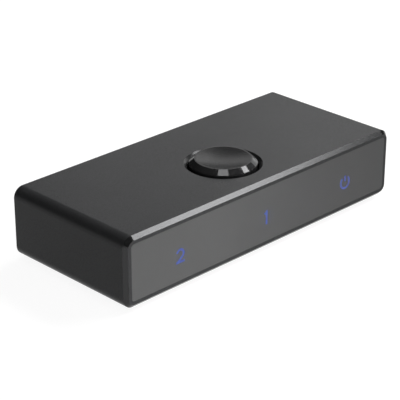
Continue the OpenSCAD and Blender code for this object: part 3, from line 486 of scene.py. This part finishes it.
def chip_part(name, node, ceramic, roughness):
    """A row of small ceramic blocks with tinned ends."""
    finish = Finish(name, ceramic, roughness)
    low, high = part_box(node)
    pitch = (high.x - low.x - CHIP_LENGTH) / (ROW_COUNT - 1)
    along = finish.math("SUBTRACT", finish.part(finish.place, "X"), low.x + CHIP_LENGTH / 2)
    from_middle = finish.math("PINGPONG", along, pitch / 2)
    tinned = finish.rise(from_middle, CERAMIC_LENGTH / 2, CERAMIC_LENGTH / 2 + TIN_EDGE)
    grain = finish.noise(0.07 * MM, FINE_DETAIL)
    batch = finish.add("ShaderNodeNewGeometry").outputs["Random Per Island"]
    body = finish.shade(batch, 0.12)
    finish.set("Base Color", finish.mix(tinned, body, finish.shade(grain, 0.08, (0.62, 0.62, 0.60))))
    finish.set("Metallic", tinned)
    finish.set("Roughness", finish.span(grain, roughness - 0.06, roughness + 0.06, *NOISE_RANGE))
    finish.relief((grain, 0.002 * MM))
    return finish


def make_finishes():
    """One finish for each material slot of the record."""
    finishes = {
        "anodised_sleeve": anodised_sleeve(),
        "front_panel_plastic": front_panel_plastic(),
        "button_plastic": button_plastic(),
        "guide_acrylic": guide_acrylic(),
        "lamp_resin": lamp_resin(),
        "board_laminate": board_laminate(),
        "capacitor_ceramic": chip_part("capacitor_ceramic", "ceramic_capacitors", (0.36, 0.24, 0.14), 0.4),
        "resistor_ceramic": chip_part("resistor_ceramic", "chip_resistors", (0.03, 0.03, 0.034), 0.3),
    }
    for name, (surface, detail) in PLAIN_FINISHES.items():
        finishes[name] = Finish(name, **surface).textured(**detail)
    return finishes


def dress(finishes):
    """Gives every CAD node the finish of its slot."""
    for part in frame["record"]["subparts"]:
        node = frame["nodes"][part["node"]]
        for slot in node.material_slots:
            slot.material = finishes[part["material_slot"]].material


def make_snap_dome():
    """The switch's snap dome in the form of its solid."""
    dome = bpy.data.objects.new("snap_dome", frame["nodes"]["switch_dome"].data.copy())
    bpy.context.scene.collection.objects.link(dome)
    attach(dome, "housing")
    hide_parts("switch_dome")
    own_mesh(dome)


def make_camera():
    """The photograph's point of view."""
    camera = bpy.data.objects.new("camera", bpy.data.cameras.new("camera"))
    camera.data.sensor_width = SENSOR
    camera.data.lens = FOCAL_PIXELS / IMAGE_SIDE * SENSOR
    camera.data.clip_start = CAMERA_CLIP
    back = direction(CAMERA_AZIMUTH, CAMERA_ELEVATION)
    right = Vector((0, 0, 1)).cross(back).normalized()
    up = back.cross(right)
    camera.location = CAMERA_AIM - AIM_RIGHT * right - AIM_UP * up + CAMERA_DISTANCE * back
    camera.rotation_mode = "QUATERNION"
    camera.rotation_quaternion = (-back).to_track_quat("-Z", "Y")
    bpy.context.scene.collection.objects.link(camera)
    bpy.context.scene.camera = camera


def make_softboxes():
    """Area lamps round the object. Their brightness doesn't depend on their size."""
    for name, azimuth, elevation, distance, width, height, brightness in SOFTBOXES:
        lamp = bpy.data.lights.new(name, "AREA")
        lamp.shape = "RECTANGLE"
        lamp.size = width
        lamp.size_y = height
        lamp.energy = brightness * math.pi * width * height
        aim, spread = GRIDS.get(name, (CAMERA_AIM, FULL_SPREAD))
        lamp.spread = math.radians(spread)
        box = bpy.data.objects.new(name, lamp)
        away = direction(azimuth, elevation)
        box.location = aim + away * distance
        box.rotation_mode = "QUATERNION"
        box.rotation_quaternion = (-away).to_track_quat("-Z", "Y")
        box.visible_camera = False
        bpy.context.scene.collection.objects.link(box)


def make_floor():
    """Pale disc that shows white, with a faint shadow, and lets the underside be seen from below."""
    mesh = bpy.data.meshes.new("floor")
    shape = bmesh.new()
    bmesh.ops.create_circle(shape, cap_ends=True, segments=FLOOR_SIDES, radius=FLOOR_RADIUS)
    shape.to_mesh(mesh)
    shape.free()
    floor = bpy.data.objects.new("floor", mesh)
    floor.location.z = -FLOOR_DROP
    bpy.context.scene.collection.objects.link(floor)
    material = bpy.data.materials.new("floor_white")
    material.use_nodes = True
    tree = Nodes(material.node_tree)
    tree.nodes.clear()
    path = tree.add("ShaderNodeLightPath").outputs
    seen = tree.math("MAXIMUM", path["Is Camera Ray"], path["Is Glossy Ray"])
    seen = tree.math("MAXIMUM", seen, path["Is Transmission Ray"])
    paper = tree.add("ShaderNodeBsdfDiffuse", {"Color": (FLOOR_TONE, FLOOR_TONE, FLOOR_TONE, 1)})
    glow = tree.add("ShaderNodeEmission", {"Strength": FLOOR_WHITE})
    bright = tree.add("ShaderNodeAddShader", {0: paper.outputs[0], 1: glow.outputs[0]})
    shown = tree.add("ShaderNodeMixShader", {0: seen, 1: paper.outputs[0], 2: bright.outputs[0]})
    side = tree.add("ShaderNodeNewGeometry").outputs["Backfacing"]
    below = tree.add("ShaderNodeBsdfTransparent")
    both = tree.add("ShaderNodeMixShader", {0: side, 1: shown.outputs[0], 2: below.outputs[0]})
    tree.add("ShaderNodeOutputMaterial", {"Surface": both.outputs[0]})
    mesh.materials.append(material)


def make_world():
    """As white as the floor at the horizon, dim above."""
    world = bpy.data.worlds.new("studio")
    world.use_nodes = True
    tree = Nodes(world.node_tree)
    way = tree.add("ShaderNodeTexCoord").outputs["Generated"]
    height = tree.part(way, "Z")
    low = math.sin(math.radians(SKY_WHITE))
    high = math.sin(math.radians(SKY_DIM))
    background = tree.nodes["Background"]
    tree.feed(background.inputs["Color"], (1, 1, 1, 1))
    tree.feed(background.inputs["Strength"], tree.span(height, FLOOR_WHITE, SKY_DIM_LEVEL, low, high))
    bpy.context.scene.world = world


dress(make_finishes())
make_snap_dome()
make_camera()
make_softboxes()
make_floor()
make_world()
bpy.context.scene.view_settings.view_transform = "Standard"
